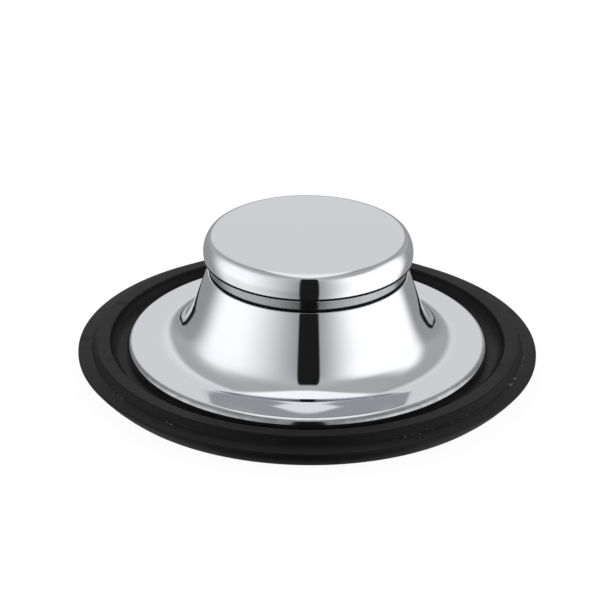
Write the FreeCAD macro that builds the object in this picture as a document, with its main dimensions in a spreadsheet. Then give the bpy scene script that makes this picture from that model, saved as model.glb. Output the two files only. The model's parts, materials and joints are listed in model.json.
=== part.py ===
"""Lift-out drain stopper: a polished knob and bell clamped over a black rubber seal ring.

Millimetres, +Z up. The origin is on the stopper's axis, at the plane that the rubber ring rests on.
Every piece is turned about that axis, except for the hexagon of the nut and the split of the spring washer.
"""

import FreeCAD, Part
import math
import os
import re

import Sketcher

# Sizes that are set by themselves.
SIZES = {
    # Rubber seal ring
    "seal_radius": 43.0,  # sealing wall, for a drain mouth of 86 mm
    "seal_height": 6.0,  # rest plane to the top of the ridge
    "wall_height": 0.5,  # upright sealing wall
    "lip_drop": 1.9,  # ridge top down to the sealing wall
    "lip_width": 2.6,  # sealing wall in to the foot of the ridge
    "lip_rise": 0.4,  # climb of the lip's top on the way in
    "foot_taper": 3.6,  # how far the outer wall draws in at the foot
    "foot_swell": 20.0,  # slight belly of the tapered wall
    "ridge_flank": 0.8,  # run of the ridge's outer side
    "ridge_width": 2.6,  # flat top of the ridge
    "ridge_round": 0.35,  # both edges of the ridge
    "flank_round": 0.3,  # hollow where the ridge stands on the lip
    "trough_width": 3.1,  # ridge in to the flange's rim
    "trough_wall_run": 1.6,  # part of that width taken by the trough's hollow wall
    "trough_round": 2.6,  # hollow of the trough's wall
    "web_thickness": 2.8,  # rubber pinched under the flange
    "seal_bore_inset": 1.5,  # bell's foot in to the rubber's bore
    "recess_draft": 2.0,  # slope of the recess on the underside
    "seal_edge_round": 0.3,  # outer edge of the rest face
    # Bell and its flange
    "bell_wall": 1.0,  # sheet thickness
    "bell_height": 14.1,  # flange to the roof
    "side_lean": 19.0,  # degrees that the straight side leans in
    "flare_round": 17.6,  # sweep from the side out to the foot
    "flare_lean": 45.0,  # degrees that the flare leans where it meets the flange
    "crease_round": 3.5,  # bend where the flare meets the flange
    "bell_edge_round": 0.3,  # edge of the roof
    "flange_width": 8.4,  # bell's foot out to the rim
    "flange_proud": 0.1,  # flange above the rubber's ridge
    "rim_drop": 2.2,  # turned-down rim
    "rim_round": 1.5,  # bend of the rim
    "rim_clearance": 0.3,  # rim to the rubber inside it
    # Neck and knob
    "neck_height": 2.4,
    "neck_setback": 0.25,  # bell's roof edge in to the collar
    "neck_width": 3.5,  # collar's outside in to its bore
    "neck_edge_round": 0.2,
    "groove_height": 0.45,  # shadow groove at the collar's foot
    "groove_depth": 0.6,
    "knob_overhang": 1.02,  # collar out to the knob's widest line
    "knob_height": 5.15,  # lower lip to the edge of the flat
    "knob_widest": 1.45,  # lower lip to the widest line
    "knob_crown": 0.12,  # rise of the flat at its middle
    "knob_corner_round": 1.6,  # corner between the flat and the side
    "knob_shoulder": 2.05,  # widest line in to that corner
    "knob_lower_round": 6.5,  # side below the widest line
    "knob_lip_round": 0.25,
    "knob_wall": 0.8,
    # Cast core of the knob
    "crimp_clearance": 0.15,  # core to the shell that is closed over it
    "hub_radius": 6.5,
    "hub_skin": 1.0,  # metal left above the tapped hole
    "hub_fillet": 1.0,
    "spigot_clearance": 0.2,  # spigot to the collar's bore
    # Water seal on the stud
    "o_ring_radius": 0.9,  # section before it is squeezed
    "o_ring_height": 1.4,  # section once it is squeezed
    "o_ring_clearance": 0.1,
    "o_ring_room": 0.3,  # space outside the ring in its pocket
    # Stud, sleeve, washers and nut
    "stud_radius": 3.0,
    "stud_chamfer": 0.6,
    "stud_floor_gap": 0.6,  # lower end above the rest plane
    "stud_protrusion": 1.2,  # lower end below the nut
    "stud_tip_gap": 0.3,  # upper end to the end of the tapped hole
    "stud_hole_clearance": 0.3,
    "thread_clearance": 0.1,
    "sleeve_radius": 5.0,
    "nut_across": 10.0,
    "nut_height": 5.0,
    "nut_bevel": 0.5,  # depth of the bevel at the nut's corners
    "nut_mouth": 0.4,  # countersink of the nut's thread
    "lock_washer_radius": 5.1,
    "lock_washer_thickness": 1.5,
    "lock_washer_split": 14.0,  # degrees
    "washer_radius": 8.0,
    "washer_thickness": 1.2,
    "washer_round": 0.3,
    # Clamp plate
    "plate_thickness": 1.0,
    "plate_inset": 2.4,  # flange's rim in to the plate's edge
    "plate_clearance": 0.5,  # plate's edge to the rubber
    "cup_clearance": 0.5,  # raised middle to the rubber's bore
    "cup_margin": 3.0,  # flat round the washer
    "cup_bend": 1.5,  # inside radius of the bends
    "plate_edge_round": 0.3,
}

# Sizes and levels that follow from the ones above.
FOLLOWING = {
    # Radii from the sealing wall inwards
    "step_radius": "seal_radius - lip_width",
    "ridge_outer_radius": "step_radius - ridge_flank",
    "ridge_radius": "ridge_outer_radius - ridge_width",
    "trough_radius": "ridge_radius - trough_wall_run",
    "flange_radius": "ridge_radius - trough_width",
    "rim_inner_radius": "flange_radius - bell_wall",
    "plateau_radius": "rim_inner_radius - rim_clearance",
    "bell_foot_radius": "flange_radius - flange_width",
    "seal_bore_radius": "bell_foot_radius - seal_bore_inset",
    "plate_radius": "flange_radius - plate_inset",
    "recess_radius": "plate_radius + plate_clearance",
    "foot_inner_radius": "recess_radius + recess_draft",
    "foot_radius": "seal_radius - foot_taper",
    # Levels above the rest plane
    "wall_top": "seal_height - lip_drop",
    "wall_bottom": "wall_top - wall_height",
    "step_level": "wall_top + lip_rise",
    "flange_top": "seal_height + flange_proud",
    "flange_under": "flange_top - bell_wall",
    "trough_floor": "flange_top - rim_drop",
    "web_under": "flange_under - web_thickness",
    "roof_top": "flange_top + bell_height",
    "knob_level": "roof_top + neck_height",
    "nut_level": "stud_floor_gap + stud_protrusion",
    "lock_washer_level": "nut_level + nut_height",
    "washer_level": "lock_washer_level + lock_washer_thickness",
    "cup_under": "washer_level + washer_thickness",
    "plate_level": "web_under - plate_thickness",
    "cup_rise": "cup_under - plate_level",
    "sleeve_level": "cup_under + plate_thickness",
    "sleeve_length": "roof_top - bell_wall - sleeve_level",
    "bore_end": "knob_height - knob_wall - hub_skin",
    "stud_length": "knob_level + bore_end - stud_tip_gap - stud_floor_gap",
    # Inside of the rim's bend, which the rubber under it follows
    "rim_inner_round": "rim_round - bell_wall",
    # Side of the bell, above the flange's top face: the flare's centre, and where it meets the straight side
    "inner_flare_round": "flare_round + bell_wall",
    "inner_crease_round": "crease_round + bell_wall",
    "flare_centre_radius": "bell_foot_radius + flare_round * cos(flare_lean)",
    "flare_centre_level": "flare_round * sin(flare_lean)",
    "side_foot_radius": "flare_centre_radius - flare_round * cos(side_lean)",
    "side_foot_level": "flare_centre_level - flare_round * sin(side_lean)",
    "inner_side_foot_radius": "flare_centre_radius - inner_flare_round * cos(side_lean)",
    "inner_side_foot_level": "flare_centre_level - inner_flare_round * sin(side_lean)",
    "inner_foot_radius":
        "flare_centre_radius - sqrt(inner_flare_round^2 - (flare_centre_level + bell_wall)^2)",
    "bell_top_radius": "side_foot_radius - (bell_height - side_foot_level) * tan(side_lean)",
    "roof_under_radius":
        "inner_side_foot_radius - (bell_height - bell_wall - inner_side_foot_level) * tan(side_lean)",
    # Knob and collar
    "neck_radius": "bell_top_radius - neck_setback",
    "neck_bore_radius": "neck_radius - neck_width",
    "groove_radius": "neck_radius - groove_depth",
    "spigot_radius": "neck_bore_radius - spigot_clearance",
    "knob_radius": "neck_radius + knob_overhang",
    "knob_corner_radius": "knob_radius - knob_shoulder",
    "knob_side_rise": "knob_height - knob_widest",
    "knob_side_round": "(knob_side_rise^2 + knob_shoulder^2) / (2 * knob_shoulder)",
    "inner_side_round": "knob_side_round - knob_wall",
    "inner_corner_radius":
        "knob_radius - knob_side_round + sqrt(inner_side_round^2 - (knob_side_rise - knob_wall)^2)",
    "inner_corner_round": "knob_corner_round - knob_wall",
    "crown_round": "(knob_corner_radius^2 + knob_crown^2) / (2 * knob_crown)",
    "inner_crown_round": "(inner_corner_radius^2 + knob_crown^2) / (2 * knob_crown)",
    "lower_centre_radius": "knob_radius - knob_lower_round",
    "knob_lip_radius": "lower_centre_radius + sqrt(knob_lower_round^2 - knob_widest^2)",
    "inner_lower_round": "knob_lower_round - knob_wall",
    "knob_lip_inner_radius": "lower_centre_radius + sqrt(inner_lower_round^2 - knob_widest^2)",
    "core_round": "inner_lower_round - crimp_clearance",
    "core_lip_radius": "lower_centre_radius + sqrt(core_round^2 - knob_widest^2)",
    "core_edge_radius": "lower_centre_radius + core_round",
    # Bores on the stud
    "tapped_radius": "stud_radius + thread_clearance",
    "stud_hole_radius": "stud_radius + stud_hole_clearance",
    "o_ring_centre_radius": "stud_radius + o_ring_clearance + o_ring_radius",
    "o_ring_flat": "sqrt(o_ring_radius^2 - (o_ring_height / 2)^2)",
    "o_ring_pocket_radius": "o_ring_centre_radius + o_ring_radius + o_ring_room",
    # Nut and plate
    "nut_corner_radius": "nut_across / (2 * cos(30))",
    "nut_flat_radius": "nut_across / 2",
    "nut_half_side": "nut_corner_radius / 2",
    "nut_bevel_radius": "nut_corner_radius - nut_bevel / tan(30)",
    "cup_radius": "washer_radius + cup_margin",
    "cup_foot_radius": "seal_bore_radius - cup_clearance",
    "cup_outer_bend": "cup_bend + plate_thickness",
}

FUNCTIONS = {"sqrt", "sin", "cos", "tan"}
LEFT_TURN = 1
RIGHT_TURN = -1
SAME_PLACE = 1e-4


class Stopper:
    """The document that holds the sheet of sizes and one body for each piece."""

    def __init__(self):
        self.doc = FreeCAD.newDocument("DrainStopper")
        self.sheet = self.doc.addObject("Spreadsheet::Sheet", "Sizes")
        self.bodies = []
        cells = [(name, str(value)) for name, value in SIZES.items()]
        cells += [(name, "=" + formula) for name, formula in FOLLOWING.items()]
        for row, (name, content) in enumerate(cells, start=1):
            self.sheet.set(f"A{row}", name)
            self.sheet.set(f"B{row}", content)
            self.sheet.setAlias(f"B{row}", name)
        self.doc.recompute()

    def bound(self, text):
        """The expression with each size's name written as a cell of the sheet."""
        return re.sub(r"[a-z][a-z_]*", lambda m: m[0] if m[0] in FUNCTIONS else "Sizes." + m[0], text)

    def value(self, text):
        """The number that an expression of sizes comes to now."""
        return float(self.sheet.evalExpression(self.bound(text)))

    def body(self, label, level="0"):
        """A new piece, whose own zero stands at a level above the rest plane."""
        body = self.doc.addObject("PartDesign::Body", label)
        body.Label = label
        body.setExpression("Placement.Base.z", self.bound(level))
        self.bodies.append(body)
        return body

    def sketch(self, body, name, plane):
        """An empty sketch on one of the body's own planes."""
        sketch = body.newObject("Sketcher::SketchObject", name)
        support = next(f for f in body.Origin.OriginFeatures if f.Role == plane)
        sketch.AttachmentSupport = [(support, "")]
        sketch.MapMode = "FlatFace"
        return sketch

    def outline(self, sketch, corners):
        """A closed outline whose corners are (across, up), or (across, up, radius, turn) before an arc."""
        places = [FreeCAD.Vector(self.value(c[0]), self.value(c[1]), 0) for c in corners]
        count = len(corners)
        first = sketch.GeometryCount
        ends = []
        for index, corner in enumerate(corners):
            here, there = places[index], places[(index + 1) % count]
            if len(corner) == 2:
                sketch.addGeometry(Part.LineSegment(here, there), False)
                ends.append((1, 2))
            else:
                radius, turn = self.value(corner[2]), corner[3]
                sketch.addGeometry(arc_between(here, there, radius, turn), False)
                ends.append((1, 2) if turn == LEFT_TURN else (2, 1))
        for index, corner in enumerate(corners):
            line, following = first + index, first + (index + 1) % count
            begin, end = ends[index]
            sketch.addConstraint(
                Sketcher.Constraint("Coincident", line, end, following, ends[(index + 1) % count][0])
            )
            self.place_along(sketch, "DistanceX", line, begin, corner[0], -2)
            self.place_along(sketch, "DistanceY", line, begin, corner[1], -1)
            if len(corner) > 2:
                number = sketch.addConstraint(Sketcher.Constraint("Radius", line, self.value(corner[2])))
                sketch.setExpression(f"Constraints[{number}]", self.bound(corner[2]))

    def place_along(self, sketch, kind, line, end, text, axis):
        """Ties one end of a line to a size along one axis, or to the axis itself where the size is zero."""
        if text == "0":
            sketch.addConstraint(Sketcher.Constraint("PointOnObject", line, end, axis))
            return
        number = sketch.addConstraint(Sketcher.Constraint(kind, -1, 1, line, end, self.value(text)))
        sketch.setExpression(f"Constraints[{number}]", self.bound(text))

    def turned(self, body, corners, angle="360"):
        """The solid that the outline makes when it is turned about the stopper's axis."""
        sketch = self.sketch(body, body.Name + "_section", "XZ_Plane")
        self.outline(sketch, corners)
        feature = body.newObject("PartDesign::Revolution", body.Name + "_turned")
        feature.Profile = sketch
        feature.ReferenceAxis = (sketch, ["V_Axis"])
        feature.setExpression("Angle", self.bound(angle))
        self.doc.recompute()
        return feature

    def grooved(self, body, name, corners):
        """Cuts an outline out all the way round."""
        sketch = self.sketch(body, name + "_section", "XZ_Plane")
        self.outline(sketch, corners)
        feature = body.newObject("PartDesign::Groove", name)
        feature.Profile = sketch
        feature.ReferenceAxis = (sketch, ["V_Axis"])
        feature.Angle = 360
        self.doc.recompute()
        return feature

    def rounded(self, body, name, rings, radius, kind="PartDesign::Fillet", size="Radius"):
        """Rounds or bevels the round edges that pass through the (across, up) places given."""
        base = body.Tip
        wanted = [(self.value(across), self.value(up)) for across, up in rings]
        edges = [
            f"Edge{number}"
            for number, edge in enumerate(base.Shape.Edges, start=1)
            if any(is_ring(edge, across, up) for across, up in wanted)
        ]
        if len(edges) != len(rings):
            raise RuntimeError(f"{body.Label}: {name} found {len(edges)} of {len(rings)} edges")
        feature = body.newObject(kind, name)
        feature.Base = (base, edges)
        feature.setExpression(size, self.bound(radius))
        self.doc.recompute()
        return feature

    def write(self):
        """Checks every object, then writes each piece to a file of its own."""
        self.doc.recompute()
        for item in self.doc.Objects:
            if "Invalid" in item.State or "Error" in item.State:
                raise RuntimeError(f"{item.Label} failed: {item.State}")
        for body in self.bodies:
            if body.Shape.isNull() or not body.Shape.isValid() or len(body.Shape.Solids) != 1:
                raise RuntimeError(f"{body.Label} is not one sound solid")
        os.makedirs("parts", exist_ok=True)
        for body in self.bodies:
            body.Shape.exportStep(f"parts/{body.Label}.step")
            print(f"{body.Label}: {body.Shape.Volume:.1f} mm3")


def arc_between(here, there, radius, turn):
    """The shorter arc from one place to another, turning left or right on the way."""
    chord = there - here
    rise = math.sqrt(radius**2 - (chord.Length / 2) ** 2)
    left = FreeCAD.Vector(-chord.y, chord.x, 0).normalize()
    centre = (here + there) / 2 + left * rise * turn
    begin, end = (here, there) if turn == LEFT_TURN else (there, here)
    angles = [math.atan2(p.y - centre.y, p.x - centre.x) for p in (begin, end)]
    return Part.ArcOfCircle(Part.Circle(centre, FreeCAD.Vector(0, 0, 1), radius), *angles)


def is_ring(edge, across, up):
    """Whether an edge is a circle about the axis at this radius and height."""
    if edge.Degenerated or not isinstance(edge.Curve, Part.Circle):
        return False
    curve = edge.Curve
    return abs(curve.Radius - across) < SAME_PLACE and abs(curve.Center.z - up) < SAME_PLACE


def seal_ring(stopper):
    """Rubber ring: pinched web, trough beside the flange, ridge, sealing lip and tapered wall."""
    body = stopper.body("seal_ring")
    stopper.turned(body, [
        ("seal_bore_radius", "web_under"),
        ("recess_radius", "web_under"),
        ("foot_inner_radius", "0"),
        ("foot_radius", "0", "foot_swell", LEFT_TURN),
        ("seal_radius", "wall_bottom"),
        ("seal_radius", "wall_top"),
        ("step_radius", "step_level"),
        ("ridge_outer_radius", "seal_height"),
        ("ridge_radius", "seal_height", "trough_round", RIGHT_TURN),
        ("trough_radius", "trough_floor"),
        ("plateau_radius", "trough_floor"),
        ("plateau_radius", "flange_under"),
        ("seal_bore_radius", "flange_under"),
    ])
    ridge = [("ridge_radius", "seal_height"), ("ridge_outer_radius", "seal_height")]
    stopper.rounded(body, "ridge_edges", ridge, "ridge_round")
    stopper.rounded(body, "ridge_foot", [("step_radius", "step_level")], "flank_round")
    stopper.rounded(body, "plateau_edge", [("plateau_radius", "flange_under")], "rim_inner_round")
    stopper.rounded(body, "foot_edge", [("foot_radius", "0")], "seal_edge_round")


def bell(stopper):
    """Drawn sheet bell: flat roof, straight leaning side, flare out to the flange, turned-down rim."""
    body = stopper.body("bell", "flange_top")
    stopper.turned(body, [
        ("stud_hole_radius", "bell_height"),
        ("bell_top_radius", "bell_height"),
        ("side_foot_radius", "side_foot_level", "flare_round", LEFT_TURN),
        ("bell_foot_radius", "0"),
        ("flange_radius", "0"),
        ("flange_radius", "-rim_drop"),
        ("rim_inner_radius", "-rim_drop"),
        ("rim_inner_radius", "-bell_wall"),
        ("inner_foot_radius", "-bell_wall", "inner_flare_round", RIGHT_TURN),
        ("inner_side_foot_radius", "inner_side_foot_level"),
        ("roof_under_radius", "bell_height - bell_wall"),
        ("stud_hole_radius", "bell_height - bell_wall"),
    ])
    stopper.rounded(body, "crease", [("bell_foot_radius", "0")], "crease_round")
    stopper.rounded(body, "crease_inside", [("inner_foot_radius", "-bell_wall")], "inner_crease_round")
    stopper.rounded(body, "rim_bend", [("flange_radius", "0")], "rim_round")
    stopper.rounded(body, "rim_inside", [("rim_inner_radius", "-bell_wall")], "rim_inner_round")
    stopper.rounded(body, "roof_edge", [("bell_top_radius", "bell_height")], "bell_edge_round")


def neck_ring(stopper):
    """Recessed collar between the bell's roof and the knob, undercut at its foot."""
    body = stopper.body("neck_ring", "roof_top")
    stopper.turned(body, [
        ("neck_bore_radius", "0"),
        ("groove_radius", "0"),
        ("groove_radius", "groove_height"),
        ("neck_radius", "groove_height"),
        ("neck_radius", "neck_height"),
        ("neck_bore_radius", "neck_height"),
    ])
    rims = [("neck_radius", "groove_height"), ("neck_radius", "neck_height")]
    stopper.rounded(body, "neck_rims", rims, "neck_edge_round")


def knob_cap(stopper):
    """Drawn shell of the knob: crowned top, rounded corner, side closed in under the core."""
    body = stopper.body("knob_cap", "knob_level")
    stopper.turned(body, [
        ("0", "knob_height + knob_crown", "crown_round", RIGHT_TURN),
        ("knob_corner_radius", "knob_height", "knob_side_round", RIGHT_TURN),
        ("knob_radius", "knob_widest", "knob_lower_round", RIGHT_TURN),
        ("knob_lip_radius", "0"),
        ("knob_lip_inner_radius", "0", "inner_lower_round", LEFT_TURN),
        ("knob_radius - knob_wall", "knob_widest", "inner_side_round", LEFT_TURN),
        ("inner_corner_radius", "knob_height - knob_wall", "inner_crown_round", LEFT_TURN),
        ("0", "knob_height + knob_crown - knob_wall"),
    ])
    inner_corner = [("inner_corner_radius", "knob_height - knob_wall")]
    stopper.rounded(body, "knob_corner", [("knob_corner_radius", "knob_height")], "knob_corner_round")
    stopper.rounded(body, "knob_corner_inside", inner_corner, "inner_corner_round")
    stopper.rounded(body, "knob_lip", [("knob_lip_radius", "0")], "knob_lip_round")


def knob_core(stopper):
    """Cast insert of the knob: disc that the shell grips, tapped hub, spigot through the collar."""
    body = stopper.body("knob_core", "knob_level")
    stopper.turned(body, [
        ("0", "knob_height - knob_wall"),
        ("hub_radius", "knob_height - knob_wall"),
        ("hub_radius", "knob_widest"),
        ("core_edge_radius", "knob_widest", "core_round", RIGHT_TURN),
        ("core_lip_radius", "0"),
        ("spigot_radius", "0"),
        ("spigot_radius", "-neck_height"),
        ("o_ring_pocket_radius", "-neck_height"),
        ("o_ring_pocket_radius", "o_ring_height - neck_height"),
        ("tapped_radius", "o_ring_height - neck_height"),
        ("tapped_radius", "bore_end"),
        ("0", "bore_end"),
    ])
    stopper.rounded(body, "hub_foot", [("hub_radius", "knob_widest")], "hub_fillet")


def stem_o_ring(stopper):
    """Water seal squeezed between the spigot's pocket and the bell's roof."""
    body = stopper.body("stem_o_ring", "roof_top")
    stopper.turned(body, [
        ("o_ring_centre_radius - o_ring_flat", "0"),
        ("o_ring_centre_radius + o_ring_flat", "0", "o_ring_radius", LEFT_TURN),
        ("o_ring_centre_radius + o_ring_flat", "o_ring_height"),
        ("o_ring_centre_radius - o_ring_flat", "o_ring_height", "o_ring_radius", LEFT_TURN),
    ])


def centre_stud(stopper):
    """Rod from the knob's core to below the nut."""
    body = stopper.body("centre_stud", "stud_floor_gap")
    stopper.turned(body, [
        ("0", "0"),
        ("stud_radius", "0"),
        ("stud_radius", "stud_length"),
        ("0", "stud_length"),
    ])
    ends = [("stud_radius", "0"), ("stud_radius", "stud_length")]
    stopper.rounded(body, "stud_ends", ends, "stud_chamfer", "PartDesign::Chamfer", "Size")


def spacer_sleeve(stopper):
    """Tube that carries the nut's pull from the plate to the bell's roof."""
    body = stopper.body("spacer_sleeve", "sleeve_level")
    stopper.turned(body, [
        ("stud_hole_radius", "0"),
        ("sleeve_radius", "0"),
        ("sleeve_radius", "sleeve_length"),
        ("stud_hole_radius", "sleeve_length"),
    ])


def clamp_plate(stopper):
    """Pressed plate: flat rim under the rubber, middle raised clear of the rest plane."""
    body = stopper.body("clamp_plate", "plate_level")
    stopper.turned(body, [
        ("stud_hole_radius", "cup_rise"),
        ("cup_radius", "cup_rise"),
        ("cup_foot_radius", "0"),
        ("plate_radius", "0"),
        ("plate_radius", "plate_thickness"),
        ("cup_foot_radius", "plate_thickness"),
        ("cup_radius", "cup_rise + plate_thickness"),
        ("stud_hole_radius", "cup_rise + plate_thickness"),
    ])
    inside = [("cup_radius", "cup_rise"), ("cup_foot_radius", "plate_thickness")]
    outside = [("cup_radius", "cup_rise + plate_thickness"), ("cup_foot_radius", "0")]
    edge = [("plate_radius", "0"), ("plate_radius", "plate_thickness")]
    stopper.rounded(body, "inside_bends", inside, "cup_bend")
    stopper.rounded(body, "outside_bends", outside, "cup_outer_bend")
    stopper.rounded(body, "plate_edge", edge, "plate_edge_round")


def plate_washer(stopper):
    """Plain washer under the clamp plate."""
    body = stopper.body("plate_washer", "washer_level")
    stopper.turned(body, [
        ("stud_hole_radius", "0"),
        ("washer_radius", "0"),
        ("washer_radius", "washer_thickness"),
        ("stud_hole_radius", "washer_thickness"),
    ])
    stopper.rounded(body, "washer_rim", [("washer_radius", "0")], "washer_round")


def lock_washer(stopper):
    """Split spring washer, closed flat by the nut."""
    body = stopper.body("lock_washer", "lock_washer_level")
    stopper.turned(body, [
        ("stud_hole_radius", "0"),
        ("lock_washer_radius", "0"),
        ("lock_washer_radius", "lock_washer_thickness"),
        ("stud_hole_radius", "lock_washer_thickness"),
    ], "360 - lock_washer_split")


def hex_nut(stopper):
    """Hexagon nut with bevelled corners and a countersunk thread."""
    body = stopper.body("hex_nut", "nut_level")
    sketch = stopper.sketch(body, "hexagon", "XY_Plane")
    stopper.outline(sketch, [
        ("nut_corner_radius", "0"),
        ("nut_half_side", "nut_flat_radius"),
        ("-nut_half_side", "nut_flat_radius"),
        ("-nut_corner_radius", "0"),
        ("-nut_half_side", "-nut_flat_radius"),
        ("nut_half_side", "-nut_flat_radius"),
    ])
    circle = Part.Circle(FreeCAD.Vector(), FreeCAD.Vector(0, 0, 1), stopper.value("tapped_radius"))
    hole = sketch.addGeometry(circle, False)
    sketch.addConstraint(Sketcher.Constraint("Coincident", hole, 3, -1, 1))
    number = sketch.addConstraint(Sketcher.Constraint("Radius", hole, stopper.value("tapped_radius")))
    sketch.setExpression(f"Constraints[{number}]", stopper.bound("tapped_radius"))
    pad = body.newObject("PartDesign::Pad", "nut_blank")
    pad.Profile = sketch
    pad.setExpression("Length", stopper.bound("nut_height"))
    stopper.doc.recompute()
    blank = pad.Shape.Volume
    stopper.grooved(body, "lower_bevel", [
        ("nut_bevel_radius", "0"),
        ("nut_corner_radius", "0"),
        ("nut_corner_radius", "nut_bevel"),
    ])
    stopper.grooved(body, "upper_bevel", [
        ("nut_bevel_radius", "nut_height"),
        ("nut_corner_radius", "nut_height"),
        ("nut_corner_radius", "nut_height - nut_bevel"),
    ])
    if body.Tip.Shape.Volume >= blank:
        raise RuntimeError("the nut's bevels cut nothing")
    mouths = [("tapped_radius", "0"), ("tapped_radius", "nut_height")]
    stopper.rounded(body, "thread_mouths", mouths, "nut_mouth", "PartDesign::Chamfer", "Size")


def main():
    """Builds every piece and writes its file."""
    stopper = Stopper()
    pieces = [
        seal_ring, bell, neck_ring, knob_cap, knob_core, stem_o_ring,
        centre_stud, spacer_sleeve, clamp_plate, plate_washer, lock_washer, hex_nut,
    ]
    for piece in pieces:
        piece(stopper)
    stopper.write()


main()
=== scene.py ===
"""Looks of a lift-out drain stopper: a polished knob and bell clamped over a black rubber seal ring.

Sizes are in millimetres and the meshes in metres, +Z up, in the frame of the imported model. Every piece is
turned about that frame's axis, so a section and a Geometry Nodes tree make most of them.
"""

import json
import logging
import math
from dataclasses import dataclass
from enum import Enum
from typing import Union

import bpy
from mathutils import Matrix, Vector

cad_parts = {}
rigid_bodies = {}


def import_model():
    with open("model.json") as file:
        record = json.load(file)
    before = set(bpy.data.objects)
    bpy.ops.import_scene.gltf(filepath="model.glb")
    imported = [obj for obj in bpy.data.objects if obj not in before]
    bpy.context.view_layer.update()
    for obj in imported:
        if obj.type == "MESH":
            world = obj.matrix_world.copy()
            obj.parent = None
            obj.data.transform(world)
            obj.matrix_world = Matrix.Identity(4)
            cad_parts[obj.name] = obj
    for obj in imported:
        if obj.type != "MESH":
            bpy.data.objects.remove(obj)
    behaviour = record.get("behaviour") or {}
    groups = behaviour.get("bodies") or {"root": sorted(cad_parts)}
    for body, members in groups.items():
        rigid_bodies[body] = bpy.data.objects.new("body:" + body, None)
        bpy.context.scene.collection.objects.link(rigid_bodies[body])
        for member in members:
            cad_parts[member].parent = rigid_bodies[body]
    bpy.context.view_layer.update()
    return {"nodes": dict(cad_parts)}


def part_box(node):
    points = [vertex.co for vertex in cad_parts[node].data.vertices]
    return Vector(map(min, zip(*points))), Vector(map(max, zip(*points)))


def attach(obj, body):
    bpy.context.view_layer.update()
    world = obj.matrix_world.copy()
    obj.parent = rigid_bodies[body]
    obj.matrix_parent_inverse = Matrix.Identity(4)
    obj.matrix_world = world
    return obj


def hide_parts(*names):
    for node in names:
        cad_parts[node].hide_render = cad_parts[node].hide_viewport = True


MM = 0.001
ROOT_BODY = "root"
LOG = logging.getLogger("drain_stopper")

Socket = bpy.types.NodeSocket
Value = Union[Socket, float, tuple]
Colour = tuple[float, float, float, float]
Pair = tuple[float, float]


def in_metres(pair: Pair) -> Pair:
    """Turns two measures in millimetres into metres."""
    return pair[0] * MM, pair[1] * MM


class Slot(Enum):
    """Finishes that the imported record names."""

    CHROME = "polished_chrome"
    RUBBER = "black_rubber"
    O_RING = "o_ring_rubber"
    BRASS = "cast_brass"
    STEEL = "plain_steel"
    SPRING = "spring_steel"


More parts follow.
